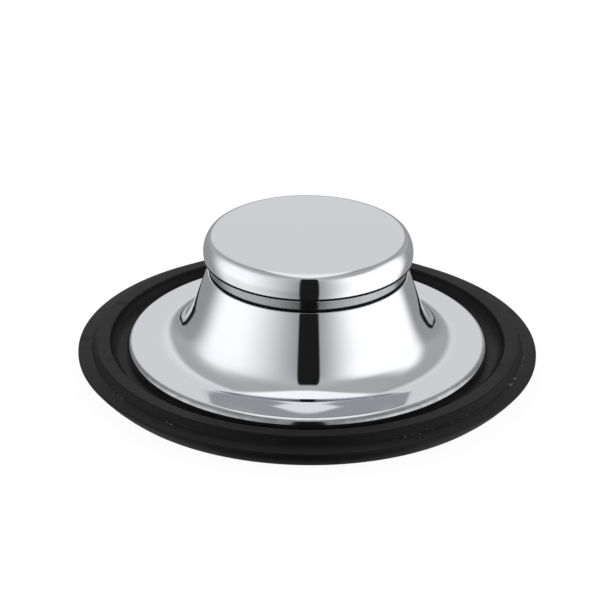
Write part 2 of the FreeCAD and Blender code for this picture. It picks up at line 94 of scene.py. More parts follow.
class Graph:
    """A node tree with short ways to add nodes and join them."""

    def __init__(self, tree: bpy.types.NodeTree) -> None:
        """Takes the tree that the nodes go into."""
        self.tree = tree

    def add(self, kind: str, **settings: object) -> bpy.types.Node:
        """Adds one node.

        Args:
            kind: Blender's name for the type of node.
            settings: properties of the node to set.

        Returns:
            The new node.
        """
        node = self.tree.nodes.new(kind)
        for name, value in settings.items():
            setattr(node, name, value)
        return node

    def feed(self, entry: Socket, value: Value) -> None:
        """Links an input to another node's output, or sets the input's own value.

        Args:
            entry: the input socket.
            value: an output socket, a number or a tuple.
        """
        if isinstance(value, bpy.types.NodeSocket):
            self.tree.links.new(value, entry)
        else:
            entry.default_value = value

    def math(self, operation: str, *values: Value) -> Socket:
        """Adds a Math node.

        Args:
            operation: name of the operation.
            values: its inputs, in order.

        Returns:
            The result's socket.
        """
        node = self.add("ShaderNodeMath", operation=operation)
        for entry, value in zip(node.inputs, values):
            self.feed(entry, value)
        return node.outputs[0]

    def fade(self, value: Value, start: float, end: float, low: Value = 0.0, high: Value = 1.0) -> Socket:
        """Adds a smooth step from one level to another.

        Args:
            value: what is measured.
            start: where the step begins.
            end: where the step is complete.
            low: level before the step.
            high: level after the step.

        Returns:
            The stepped level's socket.
        """
        node = self.add("ShaderNodeMapRange", interpolation_type="SMOOTHSTEP", clamp=True)
        for entry, given in zip(node.inputs, (value, start, end, low, high)):
            self.feed(entry, given)
        return node.outputs[0]

    def step(self, value: Value, at: float, soft: float, low: Value = 0.0, high: Value = 1.0) -> Socket:
        """Adds a smooth step round one place, which reaches equally far to both sides of it."""
        return self.fade(value, at - soft, at + soft, low, high)

    def length(self, first: Value, second: Value) -> Socket:
        """Adds the length of a way that has two parts at right angles."""
        squares = [self.math("POWER", part, 2.0) for part in (first, second)]
        return self.math("SQRT", self.math("ADD", *squares))

    def noise(self, vector: Value, scale: float, detail: float = 2.0, roughness: float = 0.5) -> Socket:
        """Adds a Noise texture.

        Args:
            vector: where it is read.
            scale: repeats for each unit of the vector.
            detail: number of finer layers.
            roughness: weight of the finer layers.

        Returns:
            The grey level's socket.
        """
        node = self.add("ShaderNodeTexNoise")
        self.feed(node.inputs["Vector"], vector)
        node.inputs["Scale"].default_value = scale
        node.inputs["Detail"].default_value = detail
        node.inputs["Roughness"].default_value = roughness
        return node.outputs[0]

    def blend(self, share: Value, first: Value, second: Value) -> Socket:
        """Adds a colour mix.

        Args:
            share: how much of the second colour, from 0 to 1.
            first: colour at 0.
            second: colour at 1.

        Returns:
            The mixed colour's socket.
        """
        # The colours of this node are its inputs 6 and 7 and its output 2.
        node = self.add("ShaderNodeMix", data_type="RGBA")
        self.feed(node.inputs[0], share)
        self.feed(node.inputs[6], first)
        self.feed(node.inputs[7], second)
        return node.outputs[2]

    def split(self, vector: Value) -> tuple[Socket, Socket, Socket]:
        """Adds a Separate XYZ node.

        Args:
            vector: what is taken apart.

        Returns:
            Its three outputs.
        """
        node = self.add("ShaderNodeSeparateXYZ")
        self.feed(node.inputs[0], vector)
        return tuple(node.outputs)

    def join(self, x: Value, y: Value, z: Value) -> Socket:
        """Adds a Combine XYZ node.

        Args:
            x: first part of the vector.
            y: second part.
            z: third part.

        Returns:
            The vector's socket.
        """
        node = self.add("ShaderNodeCombineXYZ")
        for entry, value in zip(node.inputs, (x, y, z)):
            self.feed(entry, value)
        return node.outputs[0]


@dataclass(frozen=True)
class Extent:
    """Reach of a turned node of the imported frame, in millimetres.

    Args:
        radius: greatest distance from the axis.
        low: lowest level.
        high: highest level.
    """

    radius: float
    low: float
    high: float

    HAIR = 0.0005

    @classmethod
    def of(cls, node: str) -> "Extent":
        """Reads a node's box.

        Args:
            node: name of the node.

        Returns:
            Its radius and its lowest and highest level, each a hair inside the box.
        """
        low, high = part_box(node)
        radius = min(high.x, high.y, -low.x, -low.y)
        return cls(radius / MM - cls.HAIR, low.z / MM + cls.HAIR, high.z / MM - cls.HAIR)


@dataclass(frozen=True)
class Corner:
    """A corner of a section, and how the outline goes on from it.

    Args:
        across: distance from the axis.
        up: level above the rest plane.
        rounding: radius that softens the corner.
        swell: radius of the arc to the next corner, positive to the left; 0 for a straight run.
    """

    across: float
    up: float
    rounding: float = 0.0
    swell: float = 0.0

    @property
    def place(self) -> Vector:
        """The corner as a point of the section's plane."""
        return Vector((self.across, self.up))


class Run:
    """The stretch of outline between two corners, measured along its length."""

    def __init__(self, start: Corner, end: Corner) -> None:
        """Works out the line or arc.

        Args:
            start: corner that the run leaves.
            end: corner that it reaches.
        """
        self.start, self.end = start.place, end.place
        self.radius = abs(start.swell)
        self.turn = math.copysign(1.0, start.swell)
        chord = self.end - self.start
        self.length = chord.length
        if self.radius:
            rise = math.sqrt(self.radius**2 - (chord.length / 2) ** 2)
            left = Vector((-chord.y, chord.x)).normalized()
            self.centre = (self.start + self.end) / 2 + left * rise * self.turn
            out = self.start - self.centre
            self.first_angle = math.atan2(out.y, out.x)
            self.length = 2 * self.radius * math.asin(chord.length / 2 / self.radius)

    def at(self, distance: float) -> Vector:
        """The point at a distance along the run.

        Args:
            distance: how far from its start.

        Returns:
            The point.
        """
        if not self.radius:
            return self.start.lerp(self.end, distance / self.length)
        angle = self.first_angle + self.turn * distance / self.radius
        return self.centre + self.radius * Vector((math.cos(angle), math.sin(angle)))

    def heading(self, distance: float) -> float:
        """The direction of travel at a distance along the run.

        Args:
            distance: how far from its start.

        Returns:
            The direction, in radians.
        """
        if not self.radius:
            way = self.end - self.start
            return math.atan2(way.y, way.x)
        return self.first_angle + self.turn * (distance / self.radius + math.pi / 2)


@dataclass(frozen=True)
class Section:
    """Half section of a turned piece, gone round clockwise: top outwards, outside down, underside inwards.

    Args:
        corners: the corners in order.
        closed: whether the outline returns to its first corner; if not, both ends are on the axis.
    """

    corners: tuple[Corner, ...]
    closed: bool = True

    ARC_STEP = math.radians(4.0)
    ROUNDING_STEPS = 10
    LONGEST_STEP = 1.5
    GUARD = 0.03

    def runs(self) -> list[Run]:
        """The stretches between the corners, in order."""
        ends = self.corners[1:] + self.corners[:1] if self.closed else self.corners[1:]
        return [Run(start, end) for start, end in zip(self.corners, ends)]

    def points(self) -> list[Vector]:
        """Samples the outline, with its corners rounded.

        Returns:
            Points in the section's plane, the first repeated at the end of a closed outline.
        """
        runs = self.runs()
        legs = [0.0] * len(self.corners)
        for index, corner in enumerate(self.corners):
            if corner.rounding:
                before, after = runs[index - 1], runs[index]
                bend = after.heading(0.0) - before.heading(before.length)
                bend = math.remainder(bend, math.tau)
                legs[index] = corner.rounding * abs(math.tan(bend / 2))
        points: list[Vector] = []
        for index, run in enumerate(runs):
            leg = legs[index]
            if leg:
                points += self._rounded(runs[index - 1], run, leg)
            points += self._samples(run, leg, run.length - legs[(index + 1) % len(legs)])
        if self.closed:
            points.append(points[0].copy())
        return points

    def _samples(self, run: Run, begin: float, end: float) -> list[Vector]:
        """Samples one run between two distances, with a point close to each end to keep flats flat.

        Args:
            run: the stretch of outline.
            begin: distance of the first point.
            end: distance of the last point.

        Returns:
            The points from begin to end.
        """
        step = min(self.LONGEST_STEP, run.radius * self.ARC_STEP) if run.radius else self.LONGEST_STEP
        count = max(2, math.ceil((end - begin) / step))
        marks = [begin + (end - begin) * i / count for i in range(count + 1)]
        if not run.radius and end - begin > 4 * self.GUARD:
            marks = [begin, begin + self.GUARD, *marks[1:-1], end - self.GUARD, end]
        return [run.at(mark) for mark in marks]

    def _rounded(self, before: Run, after: Run, leg: float) -> list[Vector]:
        """Points of a rounded corner between the runs that meet there, without its two ends.

        Args:
            before: run that reaches the corner.
            after: run that leaves it.
            leg: distance from the corner to where the rounding starts and ends.

        Returns:
            Points on the rounding.
        """
        first, corner, last = before.at(before.length - leg), before.end, after.at(leg)
        opening = (first - corner).angle(last - corner)
        weight = math.sin(opening / 2)
        found = []
        for step in range(1, self.ROUNDING_STEPS):
            share = step / self.ROUNDING_STEPS
            parts = ((1 - share) ** 2, 2 * weight * share * (1 - share), share**2)
            found.append((first * parts[0] + corner * parts[1] + last * parts[2]) / sum(parts))
        return found


@dataclass(frozen=True)
class Flash:
    """Thin uneven skin of rubber that the mould leaves along one ring, in millimetres.

    Args:
        radius: distance of the ring from the axis.
        level: height of the ring.
        reach: how far from the ring the skin ends.
        height: greatest rise of the skin.
        waves: how many times the skin rises and falls for each radius of turn.
        seed: picks one of the possible skins.
    """

    radius: float = 0.0
    level: float = 0.0
    reach: float = 1.0
    height: float = 0.0
    waves: float = 1.0
    seed: float = 0.0


class PieceTree:
    """Geometry Nodes tree that wraps a grid round the vertical axis and closes it into one piece."""

    NAME = ""
    INPUTS: tuple[tuple[str, str], ...] = ()
    SEAM = 1e-6
    SHARP_ANGLE = math.radians(40.0)

    def __init__(self) -> None:
        """Builds the tree and its named inputs."""
        self.tree = bpy.data.node_groups.new(self.NAME, "GeometryNodeTree")
        self.tree.is_modifier = True
        sockets = self.tree.interface
        self.ids: dict[str, str] = {}
        for label, kind in self.INPUTS:
            self.ids[label] = sockets.new_socket(label, in_out="INPUT", socket_type=kind).identifier
        sockets.new_socket("Piece", in_out="OUTPUT", socket_type="NodeSocketGeometry")
        self.graph = Graph(self.tree)
        self.given = self.graph.add("NodeGroupInput").outputs
        self._finish(self._wrapped())

    def rows(self) -> Socket:
        """Number of points along the outline."""
        raise NotImplementedError

    def place(self, row: Socket, column: Socket) -> Socket:
        """Place of one point of the grid.

        Args:
            row: its number along the outline.
            column: its number round the axis.

        Returns:
            The place.
        """
        raise NotImplementedError

    def _wrapped(self) -> Socket:
        """Makes the grid and puts each of its points in place.

        Returns:
            The open mesh.
        """
        graph, rows = self.graph, self.rows()
        grid = graph.add("GeometryNodeMeshGrid")
        graph.feed(grid.inputs["Vertices X"], graph.math("ADD", self.given["Segments"], 1.0))
        graph.feed(grid.inputs["Vertices Y"], rows)
        index = graph.add("GeometryNodeInputIndex").outputs[0]
        row = graph.math("MODULO", index, rows)
        column = graph.math("FLOOR", graph.math("DIVIDE", index, rows))
        moved = graph.add("GeometryNodeSetPosition")
        graph.feed(moved.inputs["Geometry"], grid.outputs["Mesh"])
        graph.feed(moved.inputs["Position"], self.place(row, column))
        return moved.outputs[0]

    def _finish(self, geometry: Socket) -> None:
        """Ends the tree: closes seams and poles, shades smooth, makes instances real and sets the finish.

        Args:
            geometry: what has been made so far.
        """
        graph = self.graph
        merged = graph.add("GeometryNodeMergeByDistance")
        merged.inputs["Distance"].default_value = self.SEAM
        smooth = graph.add("GeometryNodeSetShadeSmooth")
        real = graph.add("GeometryNodeRealizeInstances")
        dressed = graph.add("GeometryNodeSetMaterial")
        graph.feed(dressed.inputs["Material"], self.given["Material"])
        for node in (merged, smooth, real, dressed):
            graph.feed(node.inputs["Geometry"], geometry)
            geometry = node.outputs[0]
        graph.feed(graph.add("NodeGroupOutput").inputs[0], geometry)

    def run(self, name: str, start: bpy.types.Mesh, settings: dict[str, object]) -> bpy.types.Object:
        """Runs the tree on a mesh and keeps the result as a plain mesh.

        Args:
            name: name of the new object.
            start: mesh that the tree starts from.
            settings: value of each input by its name.

        Returns:
            The object, linked to the scene, with no modifier left.
        """
        piece = bpy.data.objects.new(name, start)
        bpy.context.scene.collection.objects.link(piece)
        modifier = piece.modifiers.new("shape", "NODES")
        modifier.node_group = self.tree
        for label, value in settings.items():
            modifier[self.ids[label]] = value
        graph = bpy.context.evaluated_depsgraph_get()
        shaped = piece.evaluated_get(graph)
        made = bpy.data.meshes.new_from_object(shaped, preserve_all_data_layers=True, depsgraph=graph)
        piece.modifiers.remove(modifier)
        made.name = name
        piece.data = made
        bpy.data.meshes.remove(start)
        made.set_sharp_from_angle(angle=self.SHARP_ANGLE)
        return piece


class TurnedTree(PieceTree):
    """Geometry Nodes tree that turns a section about the vertical axis."""

    NAME = "turned_piece"
    INPUTS = (
        ("Section", "NodeSocketGeometry"),
        ("Segments", "NodeSocketInt"),
        ("Flash Radius", "NodeSocketFloat"),
        ("Flash Level", "NodeSocketFloat"),
        ("Flash Reach", "NodeSocketFloat"),
        ("Flash Height", "NodeSocketFloat"),
        ("Flash Waves", "NodeSocketFloat"),
        ("Seed", "NodeSocketFloat"),
        ("Material", "NodeSocketMaterial"),
    )
    FLASH_RANGE = (0.45, 0.75)

    def rows(self) -> Socket:
        """Counts the points of the section.

        Returns:
            Their number.
        """
        size = self.graph.add("GeometryNodeAttributeDomainSize", component="MESH")
        self.graph.feed(size.inputs[0], self.given["Section"])
        return size.outputs["Point Count"]

    def place(self, row: Socket, column: Socket) -> Socket:
        """Place of one point: the section's point, turned, and raised by the mould's flash.

        Args:
            row: its number in the section.
            column: its number round the axis.

        Returns:
            The place.
        """
        graph = self.graph
        across, _, up = graph.split(self._section_point(row))
        angle = graph.math("MULTIPLY", column, graph.math("DIVIDE", -math.tau, self.given["Segments"]))
        cosine, sine = graph.math("COSINE", angle), graph.math("SINE", angle)
        rise = self._flash(across, up, graph.join(cosine, sine, 0.0))
        return graph.join(
            graph.math("MULTIPLY", across, cosine),
            graph.math("MULTIPLY", across, sine),
            graph.math("ADD", up, rise),
        )

    def _section_point(self, row: Socket) -> Socket:
        """Reads one point of the section.

        Args:
            row: number of the point.

        Returns:
            The point's place.
        """
        graph = self.graph
        sample = graph.add("GeometryNodeSampleIndex", data_type="FLOAT_VECTOR", domain="POINT")
        graph.feed(sample.inputs["Geometry"], self.given["Section"])
        graph.feed(sample.inputs["Value"], graph.add("GeometryNodeInputPosition").outputs[0])
        graph.feed(sample.inputs["Index"], row)
        return sample.outputs[0]

    def _flash(self, across: Socket, up: Socket, way: Socket) -> Socket:
        """Height of the mould's flash at one point.

        Args:
            across: the point's distance from the axis.
            up: its level.
            way: its direction round the axis.

        Returns:
            How far the point is raised.
        """
        graph, given = self.graph, self.given
        aside = graph.math("SUBTRACT", across, given["Flash Radius"])
        above = graph.math("SUBTRACT", up, given["Flash Level"])
        away = graph.math("DIVIDE", graph.length(aside, above), given["Flash Reach"])
        near = graph.math("MAXIMUM", graph.math("SUBTRACT", 1.0, away), 0.0)
        noise = graph.add("ShaderNodeTexNoise", noise_dimensions="4D")
        graph.feed(noise.inputs["Vector"], way)
        graph.feed(noise.inputs["W"], given["Seed"])
        graph.feed(noise.inputs["Scale"], given["Flash Waves"])
        uneven = graph.fade(noise.outputs[0], *self.FLASH_RANGE)
        return graph.math("MULTIPLY", graph.math("MULTIPLY", near, uneven), given["Flash Height"])

    def piece(
        self,
        name: str,
        section: Section,
        material: bpy.types.Material,
        segments: int = 256,
        flash: Flash = Flash(),
    ) -> bpy.types.Object:
        """Turns one section into a plain mesh.

        Args:
            name: name of the piece.
            section: its half section.
            material: its finish.
            segments: facets round the axis.
            flash: skin left by the mould.

        Returns:
            The piece's object, at the origin.
        """
        points = [(point.x * MM, 0.0, point.y * MM) for point in section.points()]
        mesh = bpy.data.meshes.new(name + "_section")
        mesh.from_pydata(points, [(i, i + 1) for i in range(len(points) - 1)], [])
        return self.run(name, mesh, {
            "Segments": segments,
            "Flash Radius": flash.radius * MM,
            "Flash Level": flash.level * MM,
            "Flash Reach": flash.reach * MM,
            "Flash Height": flash.height * MM,
            "Flash Waves": flash.waves,
            "Seed": flash.seed,
            "Material": material,
        })


class ThreadTree(PieceTree):
    """Geometry Nodes tree that makes a threaded rod with bevelled ends."""

    NAME = "threaded_rod"
    INPUTS = (
        ("Start", "NodeSocketGeometry"),
        ("Radius", "NodeSocketFloat"),
        ("Low", "NodeSocketFloat"),
        ("Length", "NodeSocketFloat"),
        ("Pitch", "NodeSocketFloat"),
        ("Depth", "NodeSocketFloat"),
        ("Bevel", "NodeSocketFloat"),
        ("Segments", "NodeSocketInt"),
        ("Rows", "NodeSocketInt"),
        ("Material", "NodeSocketMaterial"),
    )
    FLANK_RANGE = (0.1, 0.9)

    def rows(self) -> Socket:
        """Number of rows along the rod."""
        return self.given["Rows"]

    def place(self, row: Socket, column: Socket) -> Socket:
        """Place of one point on the thread or on a bevelled end.

        Args:
            row: its number along the rod.
            column: its number round the axis.

        Returns:
            The place.
        """
        graph, given = self.graph, self.given
        turn = graph.math("DIVIDE", column, given["Segments"])
        # The first and last rows close the ends, so the rows between them share the length.
        inner = graph.math("SUBTRACT", given["Rows"], 3.0)
        share = graph.math("DIVIDE", graph.math("SUBTRACT", row, 1.0), inner)
        share = graph.math("MINIMUM", graph.math("MAXIMUM", share, 0.0), 1.0)
        along = graph.math("MULTIPLY", share, given["Length"])
        phase = graph.math("FRACT", graph.math("ADD", graph.math("DIVIDE", along, given["Pitch"]), turn))
        valley = graph.math("ABSOLUTE", graph.math("SUBTRACT", graph.math("MULTIPLY", phase, 2.0), 1.0))
        flank = graph.fade(valley, *self.FLANK_RANGE)
        radius = graph.math("SUBTRACT", given["Radius"], graph.math("MULTIPLY", flank, given["Depth"]))
        to_end = graph.math("MINIMUM", along, graph.math("SUBTRACT", given["Length"], along))
        limit = graph.math("ADD", graph.math("SUBTRACT", given["Radius"], given["Bevel"]), to_end)
        last = graph.math("SUBTRACT", given["Rows"], 1.5)
        open_row = graph.math(
            "MULTIPLY", graph.math("GREATER_THAN", row, 0.5), graph.math("LESS_THAN", row, last)
        )
        radius = graph.math("MULTIPLY", graph.math("MINIMUM", radius, limit), open_row)
        angle = graph.math("MULTIPLY", turn, math.tau)
        return graph.join(
            graph.math("MULTIPLY", radius, graph.math("COSINE", angle)),
            graph.math("MULTIPLY", radius, graph.math("SINE", angle)),
            graph.math("ADD", given["Low"], along),
        )

    def piece(self, name: str, settings: dict[str, object]) -> bpy.types.Object:
        """Makes one rod.

        Args:
            name: name of the piece.
            settings: values of the tree's inputs, by their names.

        Returns:
            The piece's object, at the origin.
        """
        return self.run(name, bpy.data.meshes.new(name + "_start"), settings)


class Coat:
    """A new material with its node graph, its main shader and the piece's own coordinates."""

    def __init__(self, name: str) -> None:
        """Makes the material with one Principled shader.

        Args:
            name: name of the material.
        """
        self.material = bpy.data.materials.new(name)
        self.material.use_nodes = True
        tree = self.material.node_tree
        tree.nodes.clear()
        self.graph = Graph(tree)
        self.shader = self.graph.add("ShaderNodeBsdfPrincipled")
        out = self.graph.add("ShaderNodeOutputMaterial")
        self.graph.feed(out.inputs["Surface"], self.shader.outputs[0])
        self.place = self.graph.add("ShaderNodeTexCoord").outputs["Object"]
        self.x, self.y, self.up = self.graph.split(self.place)
        self.across = self.graph.length(self.x, self.y)

    def set(self, **values: Value) -> None:
        """Feeds the shader's inputs, named with underscores for spaces."""
        for name, value in values.items():
            self.graph.feed(self.shader.inputs[name.replace("_", " ")], value)

    def bump(self, height: Value, strength: float, distance: float) -> None:
        """Roughens the surface without moving it.

        Args:
            height: grey level read as a height.
            strength: how much of it is used.
            distance: metres between black and white.
        """
        node = self.graph.add("ShaderNodeBump")
        node.inputs["Strength"].default_value = strength
        node.inputs["Distance"].default_value = distance
        self.graph.feed(node.inputs["Height"], height)
        self.graph.feed(self.shader.inputs["Normal"], node.outputs[0])


@dataclass(frozen=True)
class Patches:
    """Cloudy patches on a surface.

    Args:
        scale: repeats for each metre.
        detail: number of finer layers.
        roughness: weight of the finer layers.
        start: grey level of the cloud where a patch begins.
        end: grey level where it is full.
        thin: strength between the patches.
    """

    scale: float
    detail: float
    roughness: float
    start: float
    end: float
    thin: float = 0.0

    def on(self, coat: Coat) -> Socket:
        """Strength of the patches on a coat, up to 1."""
        cloud = coat.graph.noise(coat.place, self.scale, self.detail, self.roughness)
        return coat.graph.fade(cloud, self.start, self.end, self.thin, 1.0)


@dataclass(frozen=True)
class Rings:
    """Fine uneven rings about the axis, as turning and buffing leave them.

    Args:
        pitch: rough distance between rings, in millimetres.
        strength: how much of their height is used.
        height: metres between valley and crest.
        detail: number of finer layers.
    """

    pitch: float
    strength: float
    height: float
    detail: float = 3.0

    def cut(self, coat: Coat) -> Socket:
        """Cuts the rings into a coat.

        Args:
            coat: the material that is being built.

        Returns:
            The rings' grey level.
        """
        line = coat.graph.join(coat.across, 0.0, coat.up)
        level = coat.graph.noise(line, 1.0 / (self.pitch * MM), self.detail)
        coat.bump(level, self.strength, self.height)
        return level


@dataclass(frozen=True)
class ChromeFinish:
    """Mirror plating with faint buffing rings, a few dull smears, a mottled rim and painted shade on the flat
    faces.

    Args:
        name: name of the material.
        bright: colour of clean plating.
        hazy: colour under a smear.
        dull: colour painted on the flat faces, the knob's top and the flange, as painted shade.
        mottled: colour of the rim's stains.
        clean_roughness: roughness of clean plating.
        smear_roughness: roughness under a smear.
        rim_roughness: roughness of the rim's stains.
        smears: pattern of the smears.
        stains: pattern of the rim's stains.
        rings: marks of the buffing wheel.
        rim: distance of the rim from the axis and half the width of its edge, in millimetres.
        rim_bend: levels between which the rim's stains end, in millimetres.
        flange: distance of the flange's beginning from the axis and half its width, in millimetres.
        top: level of the edge of the knob's top and half its height, in millimetres.
    """

    name: str = "polished_chrome"
    bright: Colour = (0.865, 0.88, 0.915, 1.0)
    hazy: Colour = (0.825, 0.84, 0.875, 1.0)
    dull: Colour = (0.735, 0.748, 0.778, 1.0)
    mottled: Colour = (0.40, 0.405, 0.415, 1.0)
    clean_roughness: float = 0.03
    smear_roughness: float = 0.06
    rim_roughness: float = 0.1
    smears: Patches = Patches(70.0, 4.0, 0.6, 0.45, 0.75)
    stains: Patches = Patches(500.0, 3.0, 0.6, 0.35, 0.65, 0.7)
    rings: Rings = Rings(0.35, 0.03, 2e-6)
    rim: Pair = (33.1, 0.2)
    rim_bend: Pair = (5.9, 6.0)
    flange: Pair = (26.9, 1.3)
    top: Pair = (27.2, 0.15)

    def material(self) -> bpy.types.Material:
        """Builds the material.

        Returns:
            The finished material.
        """
        coat = Coat(self.name)
        graph = coat.graph
        smear = self.smears.on(coat)
        # Painted shade: the knob's flat top and the flange are darkened in colour only, with the dull colour.
        flat = graph.math(
            "MAXIMUM",
            graph.step(coat.across, *in_metres(self.flange)),
            graph.step(coat.up, *in_metres(self.top)),
        )
        plating = graph.blend(flat, graph.blend(smear, self.bright, self.hazy), self.dull)
        bend = graph.math(
            "MULTIPLY",
            graph.step(coat.across, *in_metres(self.rim)),
            graph.fade(coat.up, *in_metres(self.rim_bend), 1.0, 0.0),
        )
        stain = graph.math("MULTIPLY", bend, self.stains.on(coat))
        roughness = graph.fade(smear, 0.0, 1.0, self.clean_roughness, self.smear_roughness)
        coat.set(
            Metallic=1.0,
            Base_Color=graph.blend(stain, plating, self.mottled),
            Roughness=graph.fade(stain, 0.0, 1.0, roughness, self.rim_roughness),
        )
        self.rings.cut(coat)
        return coat.material


@dataclass(frozen=True)
class CollarFinish:
    """Plating in a darker, rougher tone than the knob's, with painted shade and some grime, near black, in
    the groove at its foot.

    Args:
        name: name of the material.
        plate: colour of the plating.
        worn: colour where it is duller.
        groove_shade_and_grime: near-black colour in the groove, painted shade with some grime.
        smooth: roughness of the plating.
        rough: roughness in the groove.
        wear: pattern of the duller places.
        rings: marks of the turning tool.
        groove_top: level where the groove ends and half the height of its edge, in millimetres.
    """

    name: str = "collar_chrome"
    plate: Colour = (0.44, 0.445, 0.46, 1.0)
    worn: Colour = (0.36, 0.365, 0.375, 1.0)
    groove_shade_and_grime: Colour = (0.02, 0.02, 0.02, 1.0)
    smooth: float = 0.09
    rough: float = 0.6
    wear: Patches = Patches(260.0, 4.0, 0.6, 0.4, 0.7)
    rings: Rings = Rings(0.2, 0.05, 4e-6)
    groove_top: Pair = (20.66, 0.05)

    def material(self) -> bpy.types.Material:
        """Builds the material.

        Returns:
            The finished material.
        """
        coat = Coat(self.name)
        graph = coat.graph
        # Painted shade with some grime: the groove at the collar's foot is coloured near black.
        groove_shade_and_grime_mask = graph.step(coat.up, *in_metres(self.groove_top), 1.0, 0.0)
        coat.set(
            Metallic=1.0,
            Base_Color=graph.blend(groove_shade_and_grime_mask, graph.blend(self.wear.on(coat), self.plate, self.worn), self.groove_shade_and_grime),
            Roughness=graph.fade(groove_shade_and_grime_mask, 0.0, 1.0, self.smooth, self.rough),
        )
        self.rings.cut(coat)
        return coat.material


@dataclass(frozen=True)
class RubberFinish:
    """Moulded black rubber with a fine grain, scuffs and pale flecks along the mould's flash.

    Args:
        name: name of the material.
        dark: colour of clean rubber.
        dusty: colour where it is scuffed.
        fleck: colour of the torn flecks.
        scuffs: pattern of the scuffs.
        specks: pattern of the flecks.
        torn: middle and half width of each torn stretch, in degrees round from the front to the right.
        torn_edge: degrees over which a torn stretch ends.
        fleck_radius: distance of the flecks from the axis, in millimetres.
        fleck_reach: half the width of their band, in millimetres.
        fleck_rise: height of a fleck against the grain's.
        satin: roughness of clean rubber.
        dull: roughness where it is scuffed.
        gloss: strength of its shine.
        grain_scale: repeats of the grain for each metre.
        grain_strength: how much of the grain's height is used.
        grain_height: metres between valley and crest of the grain.
    """

    name: str = "black_rubber"
    dark: Colour = (0.0055, 0.0055, 0.0059, 1.0)
    dusty: Colour = (0.011, 0.011, 0.0115, 1.0)
    fleck: Colour = (0.20, 0.20, 0.195, 1.0)
    scuffs: Patches = Patches(180.0, 5.0, 0.65, 0.5, 0.78)
    specks: Patches = Patches(1500.0, 3.0, 0.7, 0.56, 0.68)
    torn: tuple[Pair, ...] = ((-68.0, 15.0), (-36.0, 6.0), (38.0, 17.0), (80.0, 16.0), (170.0, 30.0))
    torn_edge: float = 5.0
    fleck_radius: float = 40.6
    fleck_reach: float = 0.5
    fleck_rise: float = 2.0
    satin: float = 0.42
    dull: float = 0.62
    gloss: float = 0.14
    grain_scale: float = 3500.0
    grain_strength: float = 0.25
    grain_height: float = 2e-5

    def material(self) -> bpy.types.Material:
        """Builds the material.

        Returns:
            The finished material.
        """
        coat = Coat(self.name)
        graph = coat.graph
        scuff = self.scuffs.on(coat)
        colour = graph.blend(scuff, self.dark, self.dusty)
        aside = graph.math("ABSOLUTE", graph.math("SUBTRACT", coat.across, self.fleck_radius * MM))
        band = graph.fade(aside, 0.0, self.fleck_reach * MM, 1.0, 0.0)
        flecks = graph.math("MULTIPLY", graph.math("MULTIPLY", band, self.specks.on(coat)), self._torn(coat))
        coat.set(
            Base_Color=graph.blend(flecks, colour, self.fleck),
            Roughness=graph.fade(scuff, 0.0, 1.0, self.satin, self.dull),
            Specular_IOR_Level=self.gloss,
        )
        grain = graph.noise(coat.place, self.grain_scale)
        height = graph.math("ADD", grain, graph.math("MULTIPLY", flecks, self.fleck_rise))
        coat.bump(height, self.grain_strength, self.grain_height)
        return coat.material

    def _torn(self, coat: Coat) -> Socket:
        """Where the skin is torn, by the direction round the axis.

        Args:
            coat: the material that is being built.

        Returns:
            1 inside the torn stretches and 0 outside.
        """
        graph = coat.graph
        turn = graph.math("ARCTAN2", coat.x, graph.math("MULTIPLY", coat.y, -1.0))
        found: Value = 0.0
        for middle, half in self.torn:
            aside = graph.math("ABSOLUTE", graph.math("SUBTRACT", turn, math.radians(middle)))
            full = math.radians(half - self.torn_edge)
            found = graph.math("MAXIMUM", found, graph.fade(aside, full, math.radians(half), 1.0, 0.0))
        return found


@dataclass(frozen=True)
class MetalFinish:
    """Turned or rolled metal with rings of fine tool marks and a stained tone.

    Args:
        name: name of the material.
        bright: colour where it is clean.
        stained: colour where it is stained.
        smooth: lowest roughness.
        rough: highest roughness.
        stains: pattern of the stains.
        rings: marks of the tool.
        stain_share: how much a stain adds to the rings' tone.
        tone: tones between which the roughness grows.
    """

    name: str
    bright: Colour
    stained: Colour
    smooth: float
    rough: float
    stains: Patches = Patches(160.0, 4.0, 0.6, 0.4, 0.72)
    rings: Rings = Rings(0.25, 0.2, 1e-5)
    stain_share: float = 0.3
    tone: Pair = (0.3, 0.9)

    def material(self) -> bpy.types.Material:
        """Builds the material.

        Returns:
            The finished material.
        """
        coat = Coat(self.name)
        graph = coat.graph
        rings = self.rings.cut(coat)
        stain = self.stains.on(coat)
        tone = graph.math("ADD", rings, graph.math("MULTIPLY", stain, self.stain_share))
        coat.set(
            Metallic=1.0,
            Base_Color=graph.blend(stain, self.bright, self.stained),
            Roughness=graph.fade(tone, *self.tone, self.smooth, self.rough),
        )
        return coat.material


@dataclass(frozen=True)
class Finishes:
    """The finishes of all the pieces.

    Args:
        chrome: plating of the knob and the bell.
        collar: plating of the collar.
        rubber: the seal ring.
        o_ring: the small water seal.
        brass: the knob's core and the sleeve.
        steel: the stud, plate, plain washer and nut.
        spring: the lock washer.
    """

    chrome: ChromeFinish = ChromeFinish()
    collar: CollarFinish = CollarFinish()
    rubber: RubberFinish = RubberFinish()
    o_ring: RubberFinish = RubberFinish("o_ring_rubber", fleck_radius=0.0, satin=0.3, dull=0.4)
    brass: MetalFinish = MetalFinish(
        "cast_brass", (0.70, 0.53, 0.26, 1.0), (0.52, 0.37, 0.17, 1.0), 0.28, 0.5
    )
    steel: MetalFinish = MetalFinish(
        "plain_steel", (0.63, 0.63, 0.62, 1.0), (0.47, 0.465, 0.45, 1.0), 0.24, 0.42
    )
    spring: MetalFinish = MetalFinish(
        "spring_steel", (0.40, 0.40, 0.41, 1.0), (0.24, 0.235, 0.23, 1.0), 0.3, 0.5
    )

    def materials(self) -> dict[Slot, bpy.types.Material]:
        """Builds the materials that the record names.

        Returns:
            The materials by slot.
        """
        return {
            Slot.CHROME: self.chrome.material(),
            Slot.RUBBER: self.rubber.material(),
            Slot.O_RING: self.o_ring.material(),
            Slot.BRASS: self.brass.material(),
            Slot.STEEL: self.steel.material(),
            Slot.SPRING: self.spring.material(),
        }


